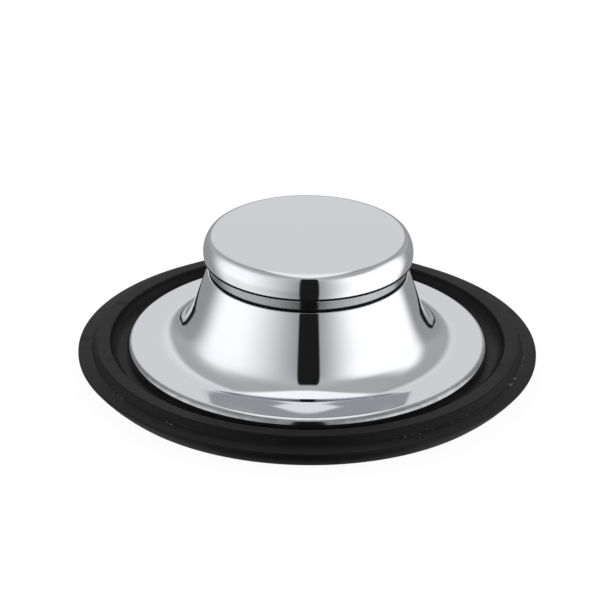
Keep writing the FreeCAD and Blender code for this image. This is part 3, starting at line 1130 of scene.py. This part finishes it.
class Workshop:
    """What every sub-assembly shares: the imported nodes, the trees and the finishes."""

    def __init__(self, nodes: dict[str, bpy.types.Object]) -> None:
        """Builds the trees and the materials.

        Args:
            nodes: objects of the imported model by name.
        """
        self.nodes = nodes
        self.lathe = TurnedTree()
        self.threads = ThreadTree()
        finishes = Finishes()
        self.coats = finishes.materials()
        self.collar_coat = finishes.collar.material()

    def seat(self, piece: bpy.types.Object, node: str) -> bpy.types.Object:
        """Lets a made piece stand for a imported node.

        Args:
            piece: the made piece.
            node: name of the node that it replaces.

        Returns:
            The piece.
        """
        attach(piece, ROOT_BODY)
        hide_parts(node)
        LOG.info("%s: %d faces, stands for %s", piece.name, len(piece.data.polygons), node)
        return piece

    def dress(self, node: str, slot: Slot) -> None:
        """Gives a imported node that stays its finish.

        Args:
            node: name of the node.
            slot: its finish in the record.
        """
        materials = self.nodes[node].data.materials
        materials.clear()
        materials.append(self.coats[slot])
        LOG.info("%s: packed node in %s", node, slot.value)


@dataclass
class Knob:
    """Pull knob: a drawn shell closed over a cast core.

    Args:
        shell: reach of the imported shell.
        crown: rise of the top at its middle.
        widest: lip up to the widest line.
        corner_round: corner between the top and the side.
        shoulder: widest line in to the top's edge.
        lower_round: side below the widest line.
        lip_round: softened lip.
        wall: thickness of the shell at its side.
        core_crown: rise of the core's top, which the inside follows.
        core_shoulder: widest line in to the edge that the core's side is struck from.
        core_round: corner of the core.
    """

    shell: Extent
    crown: float = 0.45
    widest: float = 1.45
    corner_round: float = 2.2
    shoulder: float = 1.4
    lower_round: float = 6.5
    lip_round: float = 0.25
    wall: float = 0.8
    core_crown: float = 0.12
    core_shoulder: float = 2.05
    core_round: float = 0.8

    def section(self) -> Section:
        """Works out the outline of the shell.

        Returns:
            Its half section.
        """
        top, low, radius = self.shell.high, self.shell.low, self.shell.radius
        widest = low + self.widest
        edge = top - self.crown
        corner = radius - self.shoulder
        side = self.side_round(edge - widest, self.shoulder)
        under = top - self.core_crown - self.wall
        core_side = self.side_round(under + self.wall - widest, self.core_shoulder)
        inner_side = core_side - self.wall
        inner_corner = radius - core_side + math.sqrt(inner_side**2 - (under - widest) ** 2)
        inner_lower = self.lower_round - self.wall
        centre = radius - self.lower_round
        lip = centre + math.sqrt(self.lower_round**2 - self.widest**2)
        lip_inner = centre + math.sqrt(inner_lower**2 - self.widest**2)
        return Section((
            Corner(0.0, top, swell=-self.crown_round(corner, self.crown)),
            Corner(corner, edge, self.corner_round, -side),
            Corner(radius, widest, swell=-self.lower_round),
            Corner(lip, low, self.lip_round),
            Corner(lip_inner, low, swell=inner_lower),
            Corner(radius - self.wall, widest, swell=inner_side),
            Corner(inner_corner, under, self.core_round, self.crown_round(inner_corner, self.core_crown)),
            Corner(0.0, top - self.wall),
        ), closed=False)

    @staticmethod
    def side_round(rise: float, run: float) -> float:
        """Radius of a side that starts upright and comes in by a run over a rise."""
        return (rise**2 + run**2) / (2 * run)

    @staticmethod
    def crown_round(reach: float, rise: float) -> float:
        """Radius of a crown with this rise that ends at a distance from the axis."""
        return (reach**2 + rise**2) / (2 * rise)

    def build(self, shop: Workshop) -> None:
        """Makes the shell and dresses the core and its water seal.

        Args:
            shop: trees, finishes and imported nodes.
        """
        cap = shop.lathe.piece("knob_shell", self.section(), shop.coats[Slot.CHROME])
        shop.seat(cap, "knob_cap")
        shop.dress("knob_core", Slot.BRASS)
        shop.dress("stem_o_ring", Slot.O_RING)


@dataclass
class Bell:
    """Drawn bell with its flange and turned-down rim, and the collar on its roof.

    Args:
        skirt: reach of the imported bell.
        collar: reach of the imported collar.
        stud_hole: radius of the hole in the roof.
        collar_width: outside of the collar in to its bore.
        collar_round: softened edges of the collar.
        wall: thickness of the sheet.
        flange_width: bell's foot out to the rim.
        rim_drop: height of the turned-down rim.
        rim_round: bend of the rim.
        rim_edge: softened lower edges of the rim.
        side_lean: degrees that the straight side leans in.
        flare_round: sweep from the side out to the foot.
        flare_lean: degrees that the flare leans where it meets the flange.
        crease_round: bend where the flare meets the flange.
        roof_round: edge of the roof.
        groove_height: dark groove under the collar.
        groove_depth: outside of the collar in to the groove's floor.
    """

    skirt: Extent
    collar: Extent
    stud_hole: float = 3.3
    collar_width: float = 3.5
    collar_round: float = 0.2
    wall: float = 1.0
    flange_width: float = 8.4
    rim_drop: float = 2.2
    rim_round: float = 1.5
    rim_edge: float = 0.1
    side_lean: float = 19.0
    flare_round: float = 17.6
    flare_lean: float = 45.0
    crease_round: float = 8.0
    roof_round: float = 0.3
    groove_height: float = 0.45
    groove_depth: float = 0.6

    def section(self) -> Section:
        """Works out the outline of the bell.

        Returns:
            Its half section.
        """
        roof, low, rim = self.skirt.high, self.skirt.low, self.skirt.radius
        flange = low + self.rim_drop
        lean, end = math.radians(self.side_lean), math.radians(self.flare_lean)
        foot = rim - self.flange_width
        inner_flare = self.flare_round + self.wall
        centre = (foot + self.flare_round * math.cos(end), flange + self.flare_round * math.sin(end))
        side = (centre[0] - self.flare_round * math.cos(lean), centre[1] - self.flare_round * math.sin(lean))
        inner = (centre[0] - inner_flare * math.cos(lean), centre[1] - inner_flare * math.sin(lean))
        under = flange - self.wall
        inner_foot = centre[0] - math.sqrt(inner_flare**2 - (centre[1] - under) ** 2)
        top = side[0] - (roof - side[1]) * math.tan(lean)
        inner_top = inner[0] - (roof - self.wall - inner[1]) * math.tan(lean)
        return Section((
            Corner(self.stud_hole, roof),
            Corner(top, roof, self.roof_round),
            Corner(*side, swell=self.flare_round),
            Corner(foot, flange, self.crease_round),
            Corner(rim, flange, self.rim_round),
            Corner(rim, low, self.rim_edge),
            Corner(rim - self.wall, low, self.rim_edge),
            Corner(rim - self.wall, under, self.rim_round - self.wall),
            Corner(inner_foot, under, self.crease_round + self.wall, -inner_flare),
            Corner(*inner),
            Corner(inner_top, roof - self.wall),
            Corner(self.stud_hole, roof - self.wall),
        ))

    def collar_section(self) -> Section:
        """Works out the outline of the collar.

        Returns:
            Its half section.
        """
        bore = self.collar.radius - self.collar_width
        groove = self.collar.radius - self.groove_depth
        groove_top = self.collar.low + self.groove_height
        return Section((
            Corner(bore, self.collar.high),
            Corner(self.collar.radius, self.collar.high, self.collar_round),
            Corner(self.collar.radius, groove_top, self.collar_round),
            Corner(groove, groove_top),
            Corner(groove, self.collar.low),
            Corner(bore, self.collar.low),
        ))

    def build(self, shop: Workshop) -> None:
        """Makes the bell and the collar.

        Args:
            shop: trees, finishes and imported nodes.
        """
        chrome = shop.coats[Slot.CHROME]
        shop.seat(shop.lathe.piece("bell_shell", self.section(), chrome), "bell")
        collar = shop.lathe.piece("neck_collar", self.collar_section(), shop.collar_coat)
        shop.seat(collar, "neck_ring")


@dataclass
class SealRing:
    """Rubber ring that plugs the drain.

    Args:
        ring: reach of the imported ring.
        bore: radius of its hole.
        recess: radius of the recess on the underside.
        web: levels of the pinched web, lower and upper.
        plateau: radius of the raised plateau inside the flange's rim.
        plateau_round: edge of the plateau.
        trough_floor: level of the trough's floor.
        trough_wall_run: part of the trough's width taken by its hollow wall.
        trough_round: hollow of that wall.
        ridge_width: flat top of the ridge.
        ridge_flank: run of the ridge's outer side.
        ridge_round: edges of the ridge.
        flank_round: hollow where the ridge stands on the lip.
        lip_width: sealing wall in to the ridge.
        lip_drop: ridge's top down to the sealing wall.
        lip_rise: climb of the lip's top on the way in.
        wall_height: upright sealing wall.
        foot_taper: how far the outer wall draws in at the foot.
        foot_swell: belly of that wall.
        recess_draft: slope of the recess.
        edge_round: edges of the rest face.
        lip_round: edges of the sealing wall.
        flash_shift: foot of the ridge out to the mould's flash.
        flash_reach: how far from its ring the flash ends.
        flash_height: greatest rise of the flash.
        flash_waves: how often it rises and falls for each radius of turn.
        flash_seed: picks one of the possible skins.
        segments: facets round the axis.
    """

    ring: Extent
    bore: float = 24.0
    recess: float = 32.0
    web: Pair = (2.3, 5.1)
    plateau: float = 32.6
    plateau_round: float = 0.5
    trough_floor: float = 3.9
    trough_wall_run: float = 1.6
    trough_round: float = 2.6
    ridge_width: float = 2.6
    ridge_flank: float = 0.8
    ridge_round: float = 0.35
    flank_round: float = 0.3
    lip_width: float = 2.6
    lip_drop: float = 1.9
    lip_rise: float = 0.4
    wall_height: float = 0.5
    foot_taper: float = 3.6
    foot_swell: float = 20.0
    recess_draft: float = 2.0
    edge_round: float = 0.3
    lip_round: float = 0.12
    flash_shift: float = 0.25
    flash_reach: float = 0.35
    flash_height: float = 0.12
    flash_waves: float = 60.0
    flash_seed: float = 3.0
    segments: int = 512

    def section(self) -> Section:
        """Works out the outline of the ring.

        Returns:
            Its half section.
        """
        seal, low, high = self.ring.radius, self.ring.low, self.ring.high
        step = seal - self.lip_width
        ridge_out = step - self.ridge_flank
        ridge_in = ridge_out - self.ridge_width
        wall_top = high - self.lip_drop
        return Section((
            Corner(self.bore, self.web[1]),
            Corner(self.plateau, self.web[1], self.plateau_round),
            Corner(self.plateau, self.trough_floor),
            Corner(ridge_in - self.trough_wall_run, self.trough_floor, swell=self.trough_round),
            Corner(ridge_in, high, self.ridge_round),
            Corner(ridge_out, high, self.ridge_round),
            Corner(step, wall_top + self.lip_rise, self.flank_round),
            Corner(seal, wall_top, self.lip_round),
            Corner(seal, wall_top - self.wall_height, self.lip_round, -self.foot_swell),
            Corner(seal - self.foot_taper, low, self.edge_round),
            Corner(self.recess + self.recess_draft, low, self.edge_round),
            Corner(self.recess, self.web[0]),
            Corner(self.bore, self.web[0]),
        ))

    def flash(self) -> Flash:
        """Works out the skin of rubber along the foot of the ridge.

        Returns:
            The skin.
        """
        return Flash(
            radius=self.ring.radius - self.lip_width + self.flash_shift,
            level=self.ring.high - self.lip_drop + self.lip_rise,
            reach=self.flash_reach,
            height=self.flash_height,
            waves=self.flash_waves,
            seed=self.flash_seed,
        )

    def build(self, shop: Workshop) -> None:
        """Makes the ring.

        Args:
            shop: trees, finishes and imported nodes.
        """
        ring = shop.lathe.piece(
            "rubber_ring", self.section(), shop.coats[Slot.RUBBER], self.segments, self.flash()
        )
        shop.seat(ring, "seal_ring")


@dataclass
class Clamp:
    """Stack under the bell: pressed plate, washers, nut, sleeve and the stud that ties it to the knob.

    Args:
        stud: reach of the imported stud.
        pitch: rise of the thread for each turn.
        thread_depth: depth of the thread.
        stud_bevel: bevel of the stud's ends.
        turn_rows: rows of facets for each turn of the thread.
        segments: facets round the axis.
    """

    stud: Extent
    pitch: float = 1.0
    thread_depth: float = 0.55
    stud_bevel: float = 0.6
    turn_rows: int = 12
    segments: int = 48

    def build(self, shop: Workshop) -> None:
        """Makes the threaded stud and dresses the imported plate, washers, nut and sleeve.

        Args:
            shop: trees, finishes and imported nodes.
        """
        length = self.stud.high - self.stud.low
        rod = shop.threads.piece("threaded_stud", {
            "Radius": self.stud.radius * MM,
            "Low": self.stud.low * MM,
            "Length": length * MM,
            "Pitch": self.pitch * MM,
            "Depth": self.thread_depth * MM,
            "Bevel": self.stud_bevel * MM,
            "Segments": self.segments,
            "Rows": math.ceil(length / self.pitch) * self.turn_rows,
            "Material": shop.coats[Slot.STEEL],
        })
        shop.seat(rod, "centre_stud")
        for node in ("clamp_plate", "plate_washer", "hex_nut"):
            shop.dress(node, Slot.STEEL)
        shop.dress("lock_washer", Slot.SPRING)
        shop.dress("spacer_sleeve", Slot.BRASS)


@dataclass(frozen=True)
class SoftBox:
    """A large lit panel beside the camera, by the directions that it covers, in degrees.

    Args:
        near: azimuth of its edge beside the camera.
        start: azimuth from which its strength grows.
        full: azimuth where it reaches full strength.
        far: azimuth where it starts to fade again.
        end: azimuth where it has faded.
        dim: strength before it grows.
        bright: full strength.
        low: share of its strength below the horizon.
        top: elevations between which its upper edge fades.
    """

    near: float
    start: float
    full: float
    far: float
    end: float
    dim: float
    bright: float
    low: float
    top: Pair


@dataclass(frozen=True)
class Card:
    """A rounded white card overhead, by the directions that it covers, in degrees.

    Args:
        arc: angle of its middle along the overhead arc.
        along: half its length along the arc.
        aside: half its width.
        shift: how far its middle stands to the right of the arc.
        soft: share of its size over which its edge fades.
        level: its brightness.
    """

    arc: float
    along: float
    aside: float
    shift: float
    soft: float
    level: float


@dataclass
class Studio:
    """Pale floor and a soft white studio: two panels beside the camera with a dark gap between them.

    Azimuths are 0 towards the camera and positive to its right. The overhead arc runs from the horizon
    in front, over the top, to the horizon behind and on below it.

    Args:
        arc: angle along the overhead arc, in degrees, and its brightness there.
        panels: the lit panels.
        panel_edge: softness of a panel's edge beside the camera, in degrees.
        panel_low: elevations between which their lower part begins.
        gap: azimuths of the dark gap between the panels.
        gap_edge: softness of the gap's sides, in degrees.
        gap_top: elevations between which the gap ends.
        gap_spread: share in which its edges keep apart overhead, instead of running together there.
        gap_level: brightness in the gap.
        shade: elevations between which the stopper's own shade ends.
        cards: the white cards overhead.
        floor_size: side of the floor, in metres.
        floor_matt: tone of the floor for the light that it gives back.
        floor_white: white that the camera sees on the floor whatever falls on it.
        floor_shade: what the light that falls there adds to it.
    """

    arc: tuple[Pair, ...] = (
        (0.0, 0.5), (46.0, 0.5), (64.0, 0.47), (78.0, 0.42), (165.0, 0.41), (180.0, 0.33), (205.0, 0.3),
    )
    panels: tuple[SoftBox, ...] = (
        SoftBox(-9.0, 5.0, -75.0, -86.0, -138.0, 0.28, 1.12, 0.8, (8.0, 75.0)),
        SoftBox(12.0, 8.0, 55.0, 107.0, 137.0, 0.36, 1.17, 1.0, (26.0, 58.0)),
    )
    panel_edge: float = 1.0
    panel_low: Pair = (-22.0, 0.0)
    gap: Pair = (-9.0, 12.0)
    gap_edge: float = 1.5
    gap_top: Pair = (58.0, 70.0)
    gap_spread: float = 0.3
    gap_level: float = 0.012
    shade: Pair = (-64.0, -54.0)
    cards: tuple[Card, ...] = (
        Card(146.0, 26.0, 24.0, -4.0, 0.22, 0.80),
        Card(108.0, 27.0, 14.0, 0.0, 0.14, 1.05),
    )
    floor_size: float = 4.0
    floor_matt: float = 0.9
    floor_white: float = 0.955
    floor_shade: float = 0.085

    def world(self) -> None:
        """Lights the scene from all round, by direction, and shows white to the camera."""
        world = bpy.data.worlds.new("studio")
        bpy.context.scene.world = world
        world.use_nodes = True
        world.node_tree.nodes.clear()
        graph = Graph(world.node_tree)
        x, y, z = graph.split(graph.add("ShaderNodeTexCoord").outputs["Generated"])
        ahead = graph.math("MULTIPLY", y, -1.0)
        azimuth = self._degrees(graph, graph.math("ARCTAN2", x, ahead))
        elevation = self._degrees(graph, graph.math("ARCSINE", z))
        aside = self._degrees(graph, graph.math("ARCSINE", x))
        over = graph.math("SUBTRACT", 90.0, self._degrees(graph, graph.math("ARCTAN2", ahead, z)))
        level = self._arc(graph, over)
        for panel in self.panels:
            level = self._panel(graph, panel, azimuth, elevation, level)
        turned = graph.math("SUBTRACT", aside, azimuth)
        across = graph.math("MULTIPLY_ADD", turned, self.gap_spread, azimuth)
        level = self._gap(graph, across, elevation, level)
        for card in self.cards:
            level = self._card(graph, card, over, aside, level)
        level = graph.fade(elevation, *self.shade, self.gap_level, level)
        seen = graph.add("ShaderNodeLightPath").outputs["Is Camera Ray"]
        back = graph.add("ShaderNodeBackground")
        back.inputs["Color"].default_value = (1.0, 1.0, 1.0, 1.0)
        graph.feed(back.inputs["Strength"], graph.fade(seen, 0.0, 1.0, level, 1.0))
        out = graph.add("ShaderNodeOutputWorld")
        graph.feed(out.inputs["Surface"], back.outputs[0])

    @staticmethod
    def _degrees(graph: Graph, angle: Socket) -> Socket:
        """Turns an angle in radians into degrees."""
        return graph.math("MULTIPLY", angle, 180.0 / math.pi)

    def _arc(self, graph: Graph, over: Socket) -> Socket:
        """Brightness along the overhead arc.

        Args:
            graph: the world's nodes.
            over: angle along the arc, in degrees.

        Returns:
            The brightness.
        """
        level: Value = self.arc[0][1]
        for (start, _), (end, bright) in zip(self.arc, self.arc[1:]):
            level = graph.fade(over, start, end, level, bright)
        return level

    def _panel(
        self, graph: Graph, panel: SoftBox, azimuth: Socket, elevation: Socket, level: Socket
    ) -> Socket:
        """Lays one panel over the light that is there already.

        Args:
            graph: the world's nodes.
            panel: the panel.
            azimuth: azimuth of the direction, in degrees.
            elevation: its elevation, in degrees.
            level: brightness without the panel.

        Returns:
            Brightness with the panel.
        """
        side = math.copysign(1.0, panel.near)
        away = graph.math("MULTIPLY", azimuth, side)
        strength = graph.fade(away, panel.start * side, panel.full * side, panel.dim, panel.bright)
        strength = graph.math("MULTIPLY", strength, graph.fade(elevation, *self.panel_low, panel.low, 1.0))
        cover = graph.math(
            "MULTIPLY",
            graph.step(away, panel.near * side, self.panel_edge),
            graph.fade(away, panel.far * side, panel.end * side, 1.0, 0.0),
        )
        cover = graph.math("MULTIPLY", cover, graph.fade(elevation, *panel.top, 1.0, 0.0))
        return graph.fade(cover, 0.0, 1.0, level, strength)

    def _gap(self, graph: Graph, across: Socket, elevation: Socket, level: Socket) -> Socket:
        """Leaves the dark gap between the panels.

        Args:
            graph: the world's nodes.
            across: how far the direction lies to the right of the camera, in degrees.
            elevation: its elevation, in degrees.
            level: brightness without the gap.

        Returns:
            Brightness with the gap.
        """
        left, right = self.gap
        inside = graph.math(
            "MULTIPLY",
            graph.step(across, left, self.gap_edge),
            graph.step(across, right, self.gap_edge, 1.0, 0.0),
        )
        inside = graph.math("MULTIPLY", inside, graph.fade(elevation, *self.gap_top, 1.0, 0.0))
        return graph.fade(inside, 0.0, 1.0, level, self.gap_level)

    @staticmethod
    def _card(graph: Graph, card: Card, over: Socket, aside: Socket, level: Socket) -> Socket:
        """Hangs one card over the light that is there already.

        Args:
            graph: the world's nodes.
            card: the card.
            over: angle along the overhead arc, in degrees.
            aside: angle to the right of that arc, in degrees.
            level: brightness without the card.

        Returns:
            Brightness with the card.
        """
        along = graph.math("DIVIDE", graph.math("SUBTRACT", over, card.arc), card.along)
        across = graph.math("DIVIDE", graph.math("SUBTRACT", aside, card.shift), card.aside)
        return graph.step(graph.length(along, across), 1.0, card.soft, card.level, level)

    def floor(self) -> None:
        """Lays a pale floor that shows white, keeps a soft shadow and vanishes from below and in polish."""
        half = self.floor_size / 2
        corners = [(-half, -half, 0.0), (half, -half, 0.0), (half, half, 0.0), (-half, half, 0.0)]
        mesh = bpy.data.meshes.new("floor")
        mesh.from_pydata(corners, [], [(0, 1, 2, 3)])
        floor = bpy.data.objects.new("floor", mesh)
        bpy.context.scene.collection.objects.link(floor)
        material = bpy.data.materials.new("pale_floor")
        material.use_nodes = True
        material.node_tree.nodes.clear()
        graph = Graph(material.node_tree)
        white = graph.add("ShaderNodeEmission")
        white.inputs["Strength"].default_value = self.floor_white
        seen = graph.add("ShaderNodeAddShader")
        graph.feed(seen.inputs[0], white.outputs[0])
        graph.feed(seen.inputs[1], self._matt(graph, self.floor_shade))
        path = graph.add("ShaderNodeLightPath").outputs
        lit = self._either(graph, path["Is Camera Ray"], self._matt(graph, self.floor_matt), seen.outputs[0])
        under = graph.add("ShaderNodeNewGeometry").outputs["Backfacing"]
        hidden = graph.math("MAXIMUM", under, path["Is Glossy Ray"])
        clear = graph.add("ShaderNodeBsdfTransparent").outputs[0]
        out = graph.add("ShaderNodeOutputMaterial")
        graph.feed(out.inputs["Surface"], self._either(graph, hidden, lit, clear))
        mesh.materials.append(material)

    @staticmethod
    def _matt(graph: Graph, tone: float) -> Socket:
        """Adds a matt shader in a plain grey tone.

        Args:
            graph: the material's nodes.
            tone: its grey tone.

        Returns:
            The shader's socket.
        """
        node = graph.add("ShaderNodeBsdfDiffuse")
        node.inputs["Color"].default_value = (tone, tone, tone, 1.0)
        return node.outputs[0]

    @staticmethod
    def _either(graph: Graph, choice: Socket, first: Socket, second: Socket) -> Socket:
        """Adds a choice between two shaders.

        Args:
            graph: the material's nodes.
            choice: 0 for the first shader and 1 for the second.
            first: the first shader.
            second: the second shader.

        Returns:
            The chosen shader's socket.
        """
        node = graph.add("ShaderNodeMixShader")
        for entry, value in zip(node.inputs, (choice, first, second)):
            graph.feed(entry, value)
        return node.outputs[0]

    def build(self) -> None:
        """Sets up the light and the floor."""
        self.world()
        self.floor()


@dataclass(frozen=True)
class PhotoCamera:
    """The photograph's camera, as its outlines give it.

    Args:
        target: point that it looks at, in millimetres.
        elevation: degrees above level.
        distance: from the target, in millimetres.
        roll: degrees that the picture's right side is lowered.
        focal_pixels: focal length in pixels of the picture.
        picture_pixels: side of the picture.
        sensor: width of the sensor, in millimetres.
        clip: nearest and furthest distance that shows, in metres.
    """

    target: tuple[float, float, float] = (0.064, 0.0, 12.183)
    elevation: float = 25.79
    distance: float = 660.0
    roll: float = 0.642
    focal_pixels: float = 3527.3
    picture_pixels: float = 616.0
    sensor: float = 36.0
    clip: Pair = (0.01, 20.0)

    def build(self) -> None:
        """Makes the camera the scene's camera."""
        data = bpy.data.cameras.new("photo_camera")
        data.sensor_width = self.sensor
        data.lens = self.focal_pixels / self.picture_pixels * self.sensor
        data.clip_start, data.clip_end = self.clip
        camera = bpy.data.objects.new("photo_camera", data)
        bpy.context.scene.collection.objects.link(camera)
        tilt = math.radians(self.elevation)
        back = Vector((0.0, -math.cos(tilt), math.sin(tilt)))
        turn = Matrix.Rotation(math.radians(90.0 - self.elevation), 4, "X")
        roll = Matrix.Rotation(math.radians(self.roll), 4, "Z")
        place = (Vector(self.target) + back * self.distance) * MM
        camera.matrix_world = Matrix.Translation(place) @ turn @ roll
        bpy.context.scene.camera = camera


def main() -> None:
    """Builds the stopper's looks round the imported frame, then the studio and the camera."""
    logging.basicConfig(level=logging.INFO, format="%(name)s: %(message)s")
    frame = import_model()
    shop = Workshop(frame["nodes"])
    assemblies = (
        Knob(Extent.of("knob_cap")),
        Bell(Extent.of("bell"), Extent.of("neck_ring")),
        SealRing(Extent.of("seal_ring")),
        Clamp(Extent.of("centre_stud")),
    )
    for assembly in assemblies:
        assembly.build(shop)
    Studio().build()
    PhotoCamera().build()
    bpy.context.scene.view_settings.view_transform = "Standard"


if __name__ == "__main__":
    main()
